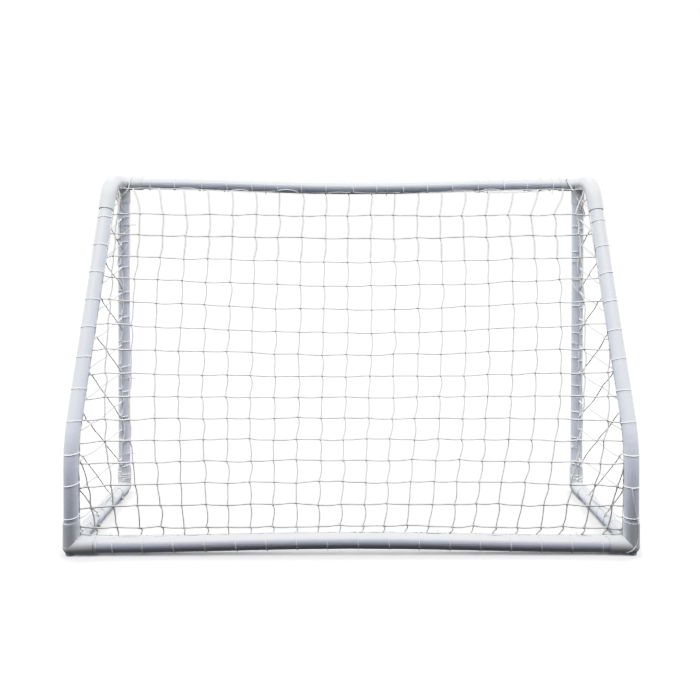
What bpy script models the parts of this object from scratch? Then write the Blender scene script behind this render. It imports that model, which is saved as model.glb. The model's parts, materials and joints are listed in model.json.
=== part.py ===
"""Push-fit junior soccer goal frame with a laced-on net, in metres, +Z up.

+X runs along the crossbar, +Y points out through the goal mouth, and the
origin is under the middle of the frame at ground level.
"""

import math

import bmesh
import bpy
from mathutils import Matrix, Vector

# Overall layout, axis to axis
SPAN = 1.780
RISE = 1.187
DEPTH = 0.450
TOP_REACH = 0.130
KINK_HEIGHT = 0.355
CROSSBAR_SAG = 0.015
REAR_BAR_BOW = 0.012

# Tube and push-fit fittings
TUBE_D = 0.045
TUBE_WALL = 0.002
SOCKET_WALL = 0.00275
SOCKET_ARM = 0.076
SOCKET_DEPTH = 0.049
REAR_ARM_DROP = 0.118
SWEEP_RADIUS = 0.095
KINK_RADIUS = 0.450
BALL_EXTRA = 0.0007
SOLE_D = 0.034
SOLE_HEIGHT = 0.00225

# Clearances
FIT_GAP = 0.0004
END_GAP = 0.001
SURFACE_GAP = 0.0003

# Net, lacing and ties
NET_THICKNESS = 0.003
NET_SETBACK = 0.0085
NET_CURL = 2.2
CORD_D = 0.002
LOOP_ADVANCE = 0.014
LOOP_POINTS = 10
RUN_STANDOFF = 0.0012
TIE_WIDTH = 0.0036
TIE_THICKNESS = 0.0011
TIE_HEAD = 0.0058
TIE_POINTS = 18

ROUND_STEPS = 24
BOW_STEPS = 10
KINK_STEPS = 6

TUBE_R = TUBE_D / 2
BORE_R = TUBE_R - TUBE_WALL
SOCKET_R = TUBE_R + SOCKET_WALL
PASSAGE_R = BORE_R - END_GAP
CORD_R = CORD_D / 2
NET_EDGE = TUBE_R + NET_SETBACK
GROUND_AXIS = SOCKET_R + SOLE_HEIGHT
TOP_AXIS = GROUND_AXIS + RISE
HALF = SPAN / 2
MOUTH = DEPTH / 2
REAR = -DEPTH / 2
TUBE_START = SOCKET_ARM - SOCKET_DEPTH + END_GAP
FREE_SPAN = SPAN - 2 * SOCKET_ARM

WHITE = (0.86, 0.87, 0.88, 1.0)
FITTING_WHITE = (0.84, 0.86, 0.85, 1.0)
NET_WHITE = (0.80, 0.81, 0.80, 1.0)
CORD_WHITE = (0.90, 0.90, 0.90, 1.0)
TIE_WHITE = (0.82, 0.83, 0.80, 1.0)

# Lacing: gap before the first loop, gap after the last one, number of loops
CROSSBAR_LOOPS = (0.025, 0.038, 17)
REAR_BAR_LOOPS = (0.057, 0.027, 17)
POST_LEFT_LOOPS = (0.009, 0.057, 11)
POST_RIGHT_LOOPS = (0.009, 0.098, 10)
STANCHION_LOOPS = (0.009, 0.038, 11)
SIDE_BAR_LOOPS = (0.031, 0.067, 3)

# Ties: place on the bar counted in lacing loops, and length of the cut tail
POST_LEFT_TIES = (0.4, 3.45, 6.55, 9.65)
POST_RIGHT_TIES = (0.65, 4.6, 7.7)
SIDE_LEFT_TIES = (0.5, 1.7)
SIDE_RIGHT_TIES = (0.4,)
CROSSBAR_TIES = (4.55, 9.4, 13.5, 15.6)
LONG_TAIL = 0.030
SHORT_TAIL = 0.012


def clear_scene():
    for obj in list(bpy.data.objects):
        bpy.data.objects.remove(obj, do_unlink=True)


def add_object(name, bm, colour, roughness, smooth=True):
    """Turn a bmesh into a named object with its own material."""
    bmesh.ops.recalc_face_normals(bm, faces=bm.faces)
    mesh = bpy.data.meshes.new(name)
    bm.to_mesh(mesh)
    bm.free()
    obj = bpy.data.objects.new(name, mesh)
    bpy.context.scene.collection.objects.link(obj)
    mat = bpy.data.materials.new(name + "_material")
    mat.use_nodes = True
    shader = mat.node_tree.nodes["Principled BSDF"]
    shader.inputs["Base Color"].default_value = colour
    shader.inputs["Roughness"].default_value = roughness
    shader.inputs["Metallic"].default_value = 0.0
    mesh.materials.append(mat)
    if smooth:
        for face in mesh.polygons:
            face.use_smooth = True
        mesh.set_sharp_from_angle(angle=math.radians(35))
    return obj


def tangents(path):
    """Unit direction at every point of a polyline."""
    result = []
    for i in range(len(path)):
        before = path[max(i - 1, 0)]
        after = path[min(i + 1, len(path) - 1)]
        result.append((after - before).normalized())
    return result


def side_vectors(path):
    """Two unit vectors square to the path at every point, without twist."""
    directions = tangents(path)
    first = directions[0]
    seed = Vector((1, 0, 0)) if abs(first.x) < 0.9 else Vector((0, 0, 1))
    side = (seed - first * seed.dot(first)).normalized()
    frames = []
    for direction in directions:
        side = (side - direction * side.dot(direction)).normalized()
        frames.append((side.copy(), direction.cross(side)))
    return frames


def ring(bm, centre, frame, radius, steps):
    side, up = frame
    verts = []
    for i in range(steps):
        angle = 2 * math.pi * i / steps
        offset = side * math.cos(angle) + up * math.sin(angle)
        verts.append(bm.verts.new(centre + offset * radius))
    return verts


def skin(bm, rings):
    """Quads between neighbouring closed rings of vertices."""
    for lower, upper in zip(rings, rings[1:]):
        for i in range(len(lower)):
            j = (i + 1) % len(lower)
            bm.faces.new((lower[i], lower[j], upper[j], upper[i]))


def solid_sweep(path, radius, steps=ROUND_STEPS):
    """A round bar along a path, closed at both ends."""
    bm = bmesh.new()
    rings = []
    for centre, frame in zip(path, side_vectors(path)):
        rings.append(ring(bm, centre, frame, radius, steps))
    skin(bm, rings)
    bm.faces.new(rings[0])
    bm.faces.new(rings[-1])
    return bm


def hollow_tube(name, path):
    """An open-ended plastic tube along a path."""
    bm = bmesh.new()
    outer = []
    inner = []
    for centre, frame in zip(path, side_vectors(path)):
        outer.append(ring(bm, centre, frame, TUBE_R, ROUND_STEPS))
        inner.append(ring(bm, centre, frame, BORE_R, ROUND_STEPS))
    skin(bm, outer)
    skin(bm, inner)
    skin(bm, [outer[0], inner[0]])
    skin(bm, [outer[-1], inner[-1]])
    return add_object(name, bm, WHITE, 0.32)


def fillet(before, corner, after, radius, steps=8):
    """Points of the arc that rounds a corner between two straight legs."""
    leg_in = (before - corner).normalized()
    leg_out = (after - corner).normalized()
    half = leg_in.angle(leg_out) / 2
    reach = radius / math.tan(half)
    centre = corner + (leg_in + leg_out).normalized() * (radius / math.sin(half))
    start = corner + leg_in * reach - centre
    axis = start.cross(corner + leg_out * reach - centre).normalized()
    sweep = math.pi - 2 * half
    points = []
    for i in range(steps + 1):
        turn = Matrix.Rotation(sweep * i / steps, 3, axis)
        points.append(centre + turn @ start)
    return points


def combine(base, operation, others):
    """Apply a chain of exact Booleans, using up the helper objects."""
    for other in others:
        modifier = base.modifiers.new(operation.lower(), "BOOLEAN")
        modifier.operation = operation
        modifier.solver = "EXACT"
        modifier.object = other
    graph = bpy.context.evaluated_depsgraph_get()
    mesh = bpy.data.meshes.new_from_object(base.evaluated_get(graph))
    base.modifiers.clear()
    base.data = mesh
    for other in others:
        bpy.data.objects.remove(other, do_unlink=True)
    return base


def helper(bm):
    """A construction solid that is used up by a Boolean."""
    return add_object("helper", bm, WHITE, 0.5, smooth=False)


def ball(centre, radius):
    bm = bmesh.new()
    bmesh.ops.create_uvsphere(bm, u_segments=20, v_segments=12, radius=radius,
                              matrix=Matrix.Translation(centre))
    return bm


def beyond(path, reach):
    """The last point of a path pushed on along its end direction."""
    return path[-1] + (path[-1] - path[-2]).normalized() * reach


def socket_bore(path):
    """The bore a tube slides into, at the open end of an arm."""
    outside = beyond(path, 0.005)
    inside = beyond(path, -SOCKET_DEPTH)
    return solid_sweep([inside, outside], TUBE_R + FIT_GAP)


def fitting(name, arms):
    """A moulded connector: arms that start at its centre, all hollow."""
    centre = arms[0][0]
    bodies = []
    for path in arms:
        bodies.append(helper(solid_sweep(path, SOCKET_R)))
    bodies.append(helper(ball(centre, SOCKET_R + BALL_EXTRA)))
    base = combine(bodies[0], "UNION", bodies[1:])
    cuts = []
    for path in arms:
        passage = path[:-1] + [beyond(path, -SOCKET_DEPTH + 0.002)]
        cuts.append(helper(solid_sweep(passage, PASSAGE_R, 20)))
        cuts.append(helper(socket_bore(path)))
    cuts.append(helper(ball(centre, PASSAGE_R + BALL_EXTRA)))
    combine(base, "DIFFERENCE", cuts)
    return finish_fitting(base, name)


def finish_fitting(base, name):
    bm = bmesh.new()
    bm.from_mesh(base.data)
    bmesh.ops.remove_doubles(bm, verts=bm.verts, dist=0.00002)
    bmesh.ops.dissolve_limit(bm, angle_limit=math.radians(0.5), verts=bm.verts, edges=bm.edges)
    bpy.data.objects.remove(base, do_unlink=True)
    return add_object(name, bm, FITTING_WHITE, 0.38)


def slant():
    """Unit vector up the sloping part of a stanchion."""
    return Vector((0, MOUTH - TOP_REACH - REAR, TOP_AXIS - KINK_HEIGHT)).normalized()


def stanchion_axis(x):
    """Axis of one stanchion from the top corner to the rear ground corner."""
    top = Vector((x, MOUTH, TOP_AXIS))
    shoulder = Vector((x, MOUTH - TOP_REACH, TOP_AXIS))
    kink = Vector((x, REAR, KINK_HEIGHT))
    foot = Vector((x, REAR, GROUND_AXIS))
    path = [top]
    path += fillet(top, shoulder, kink, SWEEP_RADIUS)
    path += fillet(shoulder, kink, foot, KINK_RADIUS, KINK_STEPS)
    path.append(foot)
    return path


def crossbar_axis(x):
    return Vector((x, MOUTH, TOP_AXIS - CROSSBAR_SAG * bow_share(x)))


def rear_bar_axis(x):
    return Vector((x, REAR, GROUND_AXIS + REAR_BAR_BOW * bow_share(x)))


def bow_share(x):
    """0 at the sockets and 1 at mid span."""
    if abs(x) >= FREE_SPAN / 2:
        return 0.0
    return math.cos(math.pi * x / FREE_SPAN) ** 2


def bar_path(axis):
    """Points of a long bowed bar between the two tube stops."""
    end = HALF - TUBE_START
    path = [axis(-end)]
    for i in range(BOW_STEPS + 1):
        path.append(axis(FREE_SPAN * (i / BOW_STEPS - 0.5)))
    path.append(axis(end))
    return path


def make_tubes(side, x):
    kink = Vector((x, REAR, KINK_HEIGHT))
    shoulder = Vector((x, MOUTH - TOP_REACH, TOP_AXIS))
    foot = Vector((x, REAR, GROUND_AXIS + TUBE_START))
    top = shoulder - slant() * (REAR_ARM_DROP - SOCKET_DEPTH + END_GAP)
    hollow_tube("post_" + side, [
        Vector((x, MOUTH, GROUND_AXIS + TUBE_START)),
        Vector((x, MOUTH, TOP_AXIS - TUBE_START)),
    ])
    hollow_tube("stanchion_" + side, [
        foot, *fillet(foot, kink, top, KINK_RADIUS, KINK_STEPS), top,
    ])
    hollow_tube("side_ground_bar_" + side, [
        Vector((x, REAR + TUBE_START, GROUND_AXIS)),
        Vector((x, MOUTH - TUBE_START, GROUND_AXIS)),
    ])


def straight_arm(centre, direction, length=SOCKET_ARM):
    return [centre, centre + Vector(direction) * length]


def make_top_corner(side, x, inward):
    centre = Vector((x, MOUTH, TOP_AXIS))
    shoulder = Vector((x, MOUTH - TOP_REACH, TOP_AXIS))
    end = shoulder - slant() * REAR_ARM_DROP
    swept = [centre] + fillet(centre, shoulder, end, SWEEP_RADIUS) + [end]
    fitting("top_corner_" + side, [
        straight_arm(centre, (inward, 0, 0)),
        straight_arm(centre, (0, 0, -1)),
        swept,
    ])


def add_sole(name, centre):
    """Flat moulded foot under a ground fitting."""
    base = bpy.data.objects[name]
    foot = [Vector((centre.x, centre.y, 0)), Vector((centre.x, centre.y, GROUND_AXIS - PASSAGE_R - 0.002))]
    combine(base, "UNION", [helper(solid_sweep(foot, SOLE_D / 2))])
    finish_fitting(base, name)


def make_ground_fittings(side, x, inward):
    rear = Vector((x, REAR, GROUND_AXIS))
    front = Vector((x, MOUTH, GROUND_AXIS))
    fitting("rear_corner_" + side, [
        straight_arm(rear, (inward, 0, 0)),
        straight_arm(rear, (0, 0, 1)),
        straight_arm(rear, (0, 1, 0)),
    ])
    fitting("front_elbow_" + side, [
        straight_arm(front, (0, 0, 1)),
        straight_arm(front, (0, -1, 0)),
    ])
    add_sole("rear_corner_" + side, rear)
    add_sole("front_elbow_" + side, front)


def walk(path, distance):
    """The point a given distance along a polyline."""
    left = distance
    for a, b in zip(path, path[1:]):
        length = (b - a).length
        if left <= length:
            return a + (b - a) * (left / length)
        left -= length
    return path[-1].copy()


def stations(first, last, loops):
    """Evenly spaced lacing loops on a bar free from one socket to the next."""
    before, after, count = loops
    pitch = (last - after - first - before) / (count - 1)
    return [first + before + pitch * k for k in range(count)]


def between(places, position):
    """A place on the bar counted in loops, such as 3.5 for midway past the fourth."""
    k = int(position)
    return places[k] + LOOP_ADVANCE + (position - k) * (places[k + 1] - places[k] - LOOP_ADVANCE)


def tube_loop():
    """Radius of a cord turn that just clears a bare tube."""
    return (TUBE_R + SURFACE_GAP + CORD_R) / math.cos(math.pi / LOOP_POINTS)


def lace_points(axis, places, net_side, run_radius):
    """Cord route: one turn round the bar at each station, then a run on."""
    points = []
    for station in places:
        for i in range(LOOP_POINTS + 1):
            share = i / LOOP_POINTS
            at = station + LOOP_ADVANCE * share
            along = (axis(at + 0.002) - axis(at - 0.002)).normalized()
            out = (net_side - along * net_side.dot(along)).normalized()
            across = along.cross(out)
            angle = 2 * math.pi * share
            radius = run_radius if i in (0, LOOP_POINTS) else tube_loop()
            points.append(axis(at) + (out * math.cos(angle) + across * math.sin(angle)) * radius)
    return points


def make_lace(name, axis, places, net_side, standoff=RUN_STANDOFF):
    points = lace_points(axis, places, net_side, tube_loop() + standoff)
    return add_object(name, solid_sweep(points, CORD_R, 4), CORD_WHITE, 0.6)


def post_places(inward):
    loops = POST_LEFT_LOOPS if inward > 0 else POST_RIGHT_LOOPS
    return stations(GROUND_AXIS + SOCKET_ARM, TOP_AXIS - SOCKET_ARM, loops)


def side_bar_places():
    return stations(REAR + SOCKET_ARM, MOUTH - SOCKET_ARM, SIDE_BAR_LOOPS)


def crossbar_places():
    return stations(-FREE_SPAN / 2, FREE_SPAN / 2, CROSSBAR_LOOPS)


def stanchion_places(route):
    """Loops up a stanchion, from the rear corner's socket to the top corner's."""
    low = GROUND_AXIS + SOCKET_ARM
    high = TOP_AXIS - REAR_ARM_DROP * slant().z
    ends = []
    for height in (low, high):
        run = 0.0
        for a, b in zip(route, route[1:]):
            if b.z >= height:
                ends.append(run + (b - a).length * (height - a.z) / (b.z - a.z))
                break
            run += (b - a).length
    return stations(ends[0], ends[1], STANCHION_LOOPS)


def make_side_laces(side, x, inward):
    route = stanchion_axis(x)[::-1]
    make_lace("lace_post_" + side, lambda s: Vector((x, MOUTH, s)), post_places(inward),
              Vector((0, -1, 0)))
    make_lace("lace_side_bar_" + side, lambda s: Vector((x, s, GROUND_AXIS)), side_bar_places(),
              Vector((0, 0, 1)))
    make_lace("lace_stanchion_" + side, lambda s: walk(route, s), stanchion_places(route),
              Vector((inward, 1, 0)))


def make_tie(name, centre, along, head_side, tail):
    """Cable tie: a flat band round a tube with a head and a cut tail."""
    along = Vector(along).normalized()
    head_side = Vector(head_side).normalized()
    across = along.cross(head_side)
    inner = (TUBE_R + SURFACE_GAP) / math.cos(math.pi / TIE_POINTS)
    outer = inner + TIE_THICKNESS
    spread = 0.5 * TIE_HEAD / outer
    tail_at = spread + TIE_THICKNESS / outer
    stops = [(-spread, outer), (-spread * 0.99, outer + TIE_HEAD * 0.7)]
    stops += [(spread * 0.99, outer + TIE_HEAD * 0.7), (spread, outer + tail)]
    stops += [(tail_at, outer + tail), (tail_at * 1.02, outer)]
    turn = 2 * math.pi - spread - tail_at
    for i in range(1, TIE_POINTS):
        stops.append((tail_at + turn * i / TIE_POINTS, outer))
    bm = bmesh.new()
    rows = []
    for level, far in ((-1, False), (-1, True), (1, True), (1, False)):
        row = []
        for angle, reach in stops:
            ray = head_side * math.cos(angle) + across * math.sin(angle)
            radius = reach if far else inner
            row.append(bm.verts.new(centre + ray * radius + along * (level * TIE_WIDTH / 2)))
        rows.append(row)
    skin(bm, rows + [rows[0]])
    return add_object(name, bm, TIE_WHITE, 0.5, smooth=False)


def make_ties():
    for side, x, inward, turns, tail in (
            ("left", -HALF, 1, POST_LEFT_TIES, LONG_TAIL),
            ("right", HALF, -1, POST_RIGHT_TIES, SHORT_TAIL)):
        for i, turn in enumerate(turns, 1):
            place = Vector((x, MOUTH, between(post_places(inward), turn)))
            make_tie("tie_post_%s_%d" % (side, i), place, (0, 0, 1), (inward, -0.5, 0), tail)
    for side, x, inward, turns in (
            ("left", -HALF, 1, SIDE_LEFT_TIES),
            ("right", HALF, -1, SIDE_RIGHT_TIES)):
        for i, turn in enumerate(turns, 1):
            place = Vector((x, between(side_bar_places(), turn), GROUND_AXIS))
            make_tie("tie_side_%s_%d" % (side, i), place, (0, 1, 0), (inward, 0, 1), SHORT_TAIL)
    for i, turn in enumerate(CROSSBAR_TIES, 1):
        place = crossbar_axis(between(crossbar_places(), turn))
        make_tie("tie_crossbar_%d" % i, place, (1, 0, 0), (0, 0.5, -1), SHORT_TAIL)


def side_profile(z):
    """Depth of a stanchion axis at a height, without its top sweep."""
    rise = slant()
    return REAR + max(0.0, z - KINK_HEIGHT) * rise.y / rise.z


def net_point(u, v):
    """Point of the back net; u runs -1 to 1 across, v runs 0 to 1 down."""
    x = u * (HALF - NET_EDGE)
    top = crossbar_axis(x)
    bottom = rear_bar_axis(x)
    fall = (bottom - top).normalized()
    top = top + fall * NET_EDGE
    bottom = bottom - fall * NET_EDGE
    flat = top.lerp(bottom, v)
    blend = min(1.0, v / 0.10) * min(1.0, (1.0 - v) / 0.04)
    bulge = (side_profile(flat.z) - flat.y) * abs(u) ** NET_CURL * blend
    return flat + Vector((0, bulge, 0))


def make_back_net(columns=14, rows=16):
    bm = bmesh.new()
    half = Vector((0, NET_THICKNESS / 2, 0))
    sheets = []
    for offset in (-half, half):
        sheet = []
        for j in range(rows + 1):
            row = []
            for i in range(columns + 1):
                row.append(bm.verts.new(net_point(2 * i / columns - 1, j / rows) + offset))
            sheet.append(row)
        sheets.append(sheet)
    for sheet in sheets:
        for j in range(rows):
            for i in range(columns):
                bm.faces.new((sheet[j][i], sheet[j][i + 1], sheet[j + 1][i + 1], sheet[j + 1][i]))
    edges = []
    for sheet in sheets:
        loop = sheet[0] + [row[-1] for row in sheet[1:]]
        loop += sheet[-1][-2::-1] + [row[0] for row in sheet[-2:0:-1]]
        edges.append(loop)
    skin(bm, edges)
    return add_object("back_net", bm, NET_WHITE, 0.8)


def make_side_net(side, x):
    """Flat net panel between post, stanchion and side ground bar."""
    path = stanchion_axis(x)
    path[0] = Vector((x, MOUTH - NET_EDGE, TOP_AXIS))
    path[-1] = Vector((x, REAR, GROUND_AXIS + NET_EDGE))
    outline = []
    for point, direction in zip(path, tangents(path)):
        inward = Vector((0, -direction.z, direction.y))
        if inward.z > 0:
            inward = -inward
        if inward.y < 0:
            inward.y = -inward.y
        outline.append(point + inward * NET_EDGE)
    outline.append(Vector((x, MOUTH - NET_EDGE, GROUND_AXIS + NET_EDGE)))
    bm = bmesh.new()
    half = Vector((NET_THICKNESS / 2, 0, 0))
    near = [bm.verts.new(p - half) for p in outline]
    far = [bm.verts.new(p + half) for p in outline]
    skin(bm, [near, far])
    bm.faces.new(near)
    bm.faces.new(far)
    return add_object("side_net_" + side, bm, NET_WHITE, 0.8, smooth=False)


def make_corner_cords():
    """Two loose ends of cord knotted off at the top corners."""
    reach = SOCKET_R + CORD_R + 0.0016
    under = (SOCKET_R + NET_EDGE) / 2
    front = MOUTH - reach
    left = [
        Vector((-HALF + reach + 0.006, MOUTH - reach * 0.45, TOP_AXIS + reach * 0.90)),
        Vector((-HALF + reach + 0.006, MOUTH - reach * 0.92, TOP_AXIS + reach * 0.40)),
        Vector((-HALF + reach + 0.005, front - 0.001, TOP_AXIS - reach * 0.35)),
        Vector((-HALF + reach, front - 0.004, TOP_AXIS - reach * 0.85)),
        Vector((-HALF + reach * 0.70, front - 0.007, TOP_AXIS - under - 0.007)),
        Vector((-HALF + reach * 0.32, front - 0.009, TOP_AXIS - under - 0.003)),
        Vector((-HALF, front - 0.011, TOP_AXIS - under)),
        Vector((-HALF - reach * 0.45, front - 0.013, TOP_AXIS - under - 0.001)),
    ]
    right = [
        Vector((HALF - reach * 1.75, front + 0.0005, TOP_AXIS + reach * 0.25)),
        Vector((HALF - reach * 1.42, front - 0.001, TOP_AXIS - reach * 0.30)),
        Vector((HALF - reach * 1.03, front - 0.001, TOP_AXIS - reach * 0.92)),
    ]
    for turn, drop in ((-50, 1.6), (-34, 2.2), (-14, 2.8), (10, 3.4), (30, 4.0), (45, 4.6)):
        angle = math.radians(turn)
        place = (HALF + reach * math.sin(angle), MOUTH - reach * math.cos(angle))
        right.append(Vector((*place, TOP_AXIS - reach * drop)))
    for side, points in (("left", left), ("right", right)):
        bm = solid_sweep(points, CORD_R, 6)
        add_object("corner_cord_" + side, bm, CORD_WHITE, 0.6)


def main():
    clear_scene()
    hollow_tube("crossbar", bar_path(crossbar_axis))
    hollow_tube("rear_ground_bar", bar_path(rear_bar_axis))
    for side, x, inward in (("left", -HALF, 1), ("right", HALF, -1)):
        make_tubes(side, x)
        make_top_corner(side, x, inward)
        make_ground_fittings(side, x, inward)
        make_side_laces(side, x, inward)
        make_side_net(side, x)
    make_lace("lace_crossbar", crossbar_axis, crossbar_places(), Vector((0, -0.38, -1)))
    make_lace("lace_rear_bar", rear_bar_axis,
              stations(-FREE_SPAN / 2, FREE_SPAN / 2, REAR_BAR_LOOPS), Vector((0, 0.38, 1)))
    make_back_net()
    make_ties()
    make_corner_cords()


main()
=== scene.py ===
"""Dresses a junior soccer goal: finishes, twine nets, lacing, ties, light and camera.

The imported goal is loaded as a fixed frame, in metres. +X runs along the crossbar and
+Y points out through the goal mouth.
"""

import json
import math
import random

import bpy
from bpy.props import (
    FloatProperty,
    FloatVectorProperty,
    IntProperty,
    PointerProperty,
)
from mathutils import Matrix, Vector

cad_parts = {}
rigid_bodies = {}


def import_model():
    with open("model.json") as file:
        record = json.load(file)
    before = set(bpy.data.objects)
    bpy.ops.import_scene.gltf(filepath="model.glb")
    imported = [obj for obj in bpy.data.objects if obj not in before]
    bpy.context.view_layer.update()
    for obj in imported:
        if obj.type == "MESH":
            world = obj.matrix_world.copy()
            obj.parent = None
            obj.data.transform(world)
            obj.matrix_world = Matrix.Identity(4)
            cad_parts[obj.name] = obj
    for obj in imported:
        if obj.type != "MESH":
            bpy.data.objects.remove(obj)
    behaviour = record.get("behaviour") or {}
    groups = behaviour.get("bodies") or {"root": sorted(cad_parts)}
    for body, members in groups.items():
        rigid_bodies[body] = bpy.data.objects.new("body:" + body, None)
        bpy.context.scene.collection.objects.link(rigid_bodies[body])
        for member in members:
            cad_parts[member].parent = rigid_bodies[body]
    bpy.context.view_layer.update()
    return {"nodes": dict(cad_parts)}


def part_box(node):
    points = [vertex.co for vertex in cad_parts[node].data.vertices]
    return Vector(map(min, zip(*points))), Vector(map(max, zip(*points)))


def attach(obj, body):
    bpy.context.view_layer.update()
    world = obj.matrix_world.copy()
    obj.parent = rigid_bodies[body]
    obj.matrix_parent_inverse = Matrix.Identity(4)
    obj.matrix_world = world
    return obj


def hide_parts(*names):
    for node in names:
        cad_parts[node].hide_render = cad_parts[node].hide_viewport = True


bl_info = {
    "name": "Soccer Goal Dresser",
    "version": (1, 0, 0),
    "blender": (4, 5, 0),
    "location": "View3D > Sidebar > Goal",
    "description": "Finishes, nets, lacing, ties and studio for a junior soccer goal",
    "category": "Object",
}

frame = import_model()


# ---------------------------------------------------------------- goal geometry

def middle(node):
    low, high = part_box(node)
    return (Vector(low) + Vector(high)) / 2


def extent(node):
    low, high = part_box(node)
    return Vector(high) - Vector(low)


TUBE_R = extent("post_right").x / 2
SOCKET_WALL = 0.00275
HALF = middle("post_right").x
MOUTH = middle("post_right").y
REAR = middle("rear_ground_bar").y
GROUND = middle("side_ground_bar_right").z
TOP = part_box("crossbar")[1][2] - TUBE_R
SAG = extent("crossbar").z - 2 * TUBE_R
BOW = extent("rear_ground_bar").z - 2 * TUBE_R
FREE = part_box("top_corner_right")[0][0]
SOCKET_ARM = HALF - FREE

# The bent stanchion: height of its kink, reach of the corner's swept arm, bend radii
KINK_Z = 0.355
SHOULDER_Y = MOUTH - 0.130
KINK_RADIUS = 0.450
SWEEP_RADIUS = 0.095
SWEPT_LIP_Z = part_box("top_corner_right")[0][2] - 0.004


def bow_share(x):
    """0 at the sockets and 1 at mid span."""
    if abs(x) >= FREE:
        return 0.0
    return math.cos(math.pi * x / (2 * FREE)) ** 2


def crossbar_axis(x):
    return Vector((x, MOUTH, TOP - SAG * bow_share(x)))


def rear_bar_axis(x):
    return Vector((x, REAR, GROUND + BOW * bow_share(x)))


def fillet(before, corner, after, radius, steps):
    """Points of the arc that rounds a corner between two straight legs."""
    leg_in = (before - corner).normalized()
    leg_out = (after - corner).normalized()
    half = leg_in.angle(leg_out) / 2
    reach = radius / math.tan(half)
    centre = corner + (leg_in + leg_out).normalized() * (radius / math.sin(half))
    start = corner + leg_in * reach - centre
    axis = start.cross(corner + leg_out * reach - centre).normalized()
    points = []
    for i in range(steps + 1):
        turn = Matrix.Rotation((math.pi - 2 * half) * i / steps, 3, axis)
        points.append(centre + turn @ start)
    return points


def stanchion_axis(x):
    """Axis from the rear ground corner up to the top corner."""
    foot = Vector((x, REAR, GROUND))
    kink = Vector((x, REAR, KINK_Z))
    shoulder = Vector((x, SHOULDER_Y, TOP))
    top = Vector((x, MOUTH, TOP))
    path = [foot] + fillet(foot, kink, shoulder, KINK_RADIUS, 6)
    return path + fillet(kink, shoulder, top, SWEEP_RADIUS, 8) + [top]


def walk(path, distance):
    """The point a given distance along a polyline."""
    left = distance
    for a, b in zip(path, path[1:]):
        length = (b - a).length
        if left <= length:
            return a + (b - a) * (left / length)
        left -= length
    return path[-1].copy()


def climb(path, height):
    """The distance along a path that rises, at which it reaches a height."""
    run = 0.0
    for a, b in zip(path, path[1:]):
        if b.z >= height > a.z:
            return run + (b - a).length * (height - a.z) / (b.z - a.z)
        run += (b - a).length
    return run


def at_height(path, z):
    """The point of a rising path at a height."""
    for a, b in zip(path, path[1:]):
        if a.z <= z <= b.z and b.z > a.z:
            return a + (b - a) * ((z - a.z) / (b.z - a.z))
    return path[0].copy() if z < path[0].z else path[-1].copy()


# ---------------------------------------------------------------- where the nets hang

HUG = TUBE_R + 0.0024
NET_HALF = HALF - HUG * math.sqrt(0.5)
TOP_EDGE_SIDE = Vector((0, -0.2, -0.98))
BOTTOM_EDGE_SIDE = Vector((0, 0.5, 0.866))


def on_fitting(share):
    """Extra reach of the border cord where it passes over a socket; share is 0 to 1."""
    return SOCKET_WALL * max(0.0, min(1.0, share))


def edge_reach(x):
    """How far the border cord runs from the middle of the crossbar or the rear bar."""
    return HUG + on_fitting((abs(x) - FREE + 0.012) / 0.012)


def top_edge(x):
    return crossbar_axis(x) + TOP_EDGE_SIDE * edge_reach(x)


def bottom_edge(x):
    return rear_bar_axis(x) + BOTTOM_EDGE_SIDE * edge_reach(x)


def side_edge(side):
    """Border shared by the back net and a side net, up the inner side of a stanchion."""
    axis = stanchion_axis(side * HALF)
    edge = []
    for i, point in enumerate(axis):
        along = (axis[min(i + 1, len(axis) - 1)] - axis[max(i - 1, 0)]).normalized()
        out = (Vector((-side, 0, 0)) + Vector((0, along.z, -along.y))) * math.sqrt(0.5)
        extra = max(on_fitting((point.z - SWEPT_LIP_Z) / 0.01),
                    on_fitting((GROUND + SOCKET_ARM + 0.01 - point.z) / 0.01))
        edge.append(point + out * (HUG + extra))
    return edge


EDGES = {-1: side_edge(-1), 1: side_edge(1)}
EDGE_LOW = EDGES[1][0].z
EDGE_HIGH = EDGES[1][-1].z
SIDE_FRONT = MOUTH - HUG
SIDE_BOTTOM = GROUND + HUG
SIDE_CEILING = TOP - HUG - SOCKET_WALL


def net_point(u, v):
    """Point of the back net; u is -1 to 1 across and v is 0 at the crossbar, 1 at the ground."""
    x = u * NET_HALF
    flat = top_edge(x).lerp(bottom_edge(x), v)
    edge = at_height(EDGES[-1 if u < 0 else 1], flat.z)
    bulge = (edge.y - flat.y) * abs(u) ** 2.2
    return flat + Vector((0, bulge, 0))


def net_at(x, z):
    """Point of the back net at a place across and a height."""
    u = max(-1.0, min(1.0, x / NET_HALF))
    low, high = 0.0, 1.0
    for _ in range(18):
        v = (low + high) / 2
        if net_point(u, v).z > z:
            low = v
        else:
            high = v
    return net_point(u, (low + high) / 2)


# ---------------------------------------------------------------- shader maths

class Link:
    """A shader socket that takes part in Python sums; numbers stay numbers."""

    def __init__(self, shader, socket):
        self.shader = shader
        self.socket = socket

    def math(self, operation, *others):
        values = dict(enumerate((self,) + others))
        return self.shader.node("ShaderNodeMath", {"operation": operation}, values)

    def __add__(self, other):
        return self.math("ADD", other)

    __radd__ = __add__

    def __mul__(self, other):
        return self.math("MULTIPLY", other)

    __rmul__ = __mul__

    def __sub__(self, other):
        return self.math("SUBTRACT", other)

    def __rsub__(self, other):
        return self.shader.node("ShaderNodeMath", {"operation": "SUBTRACT"}, {0: other, 1: self})


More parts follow.
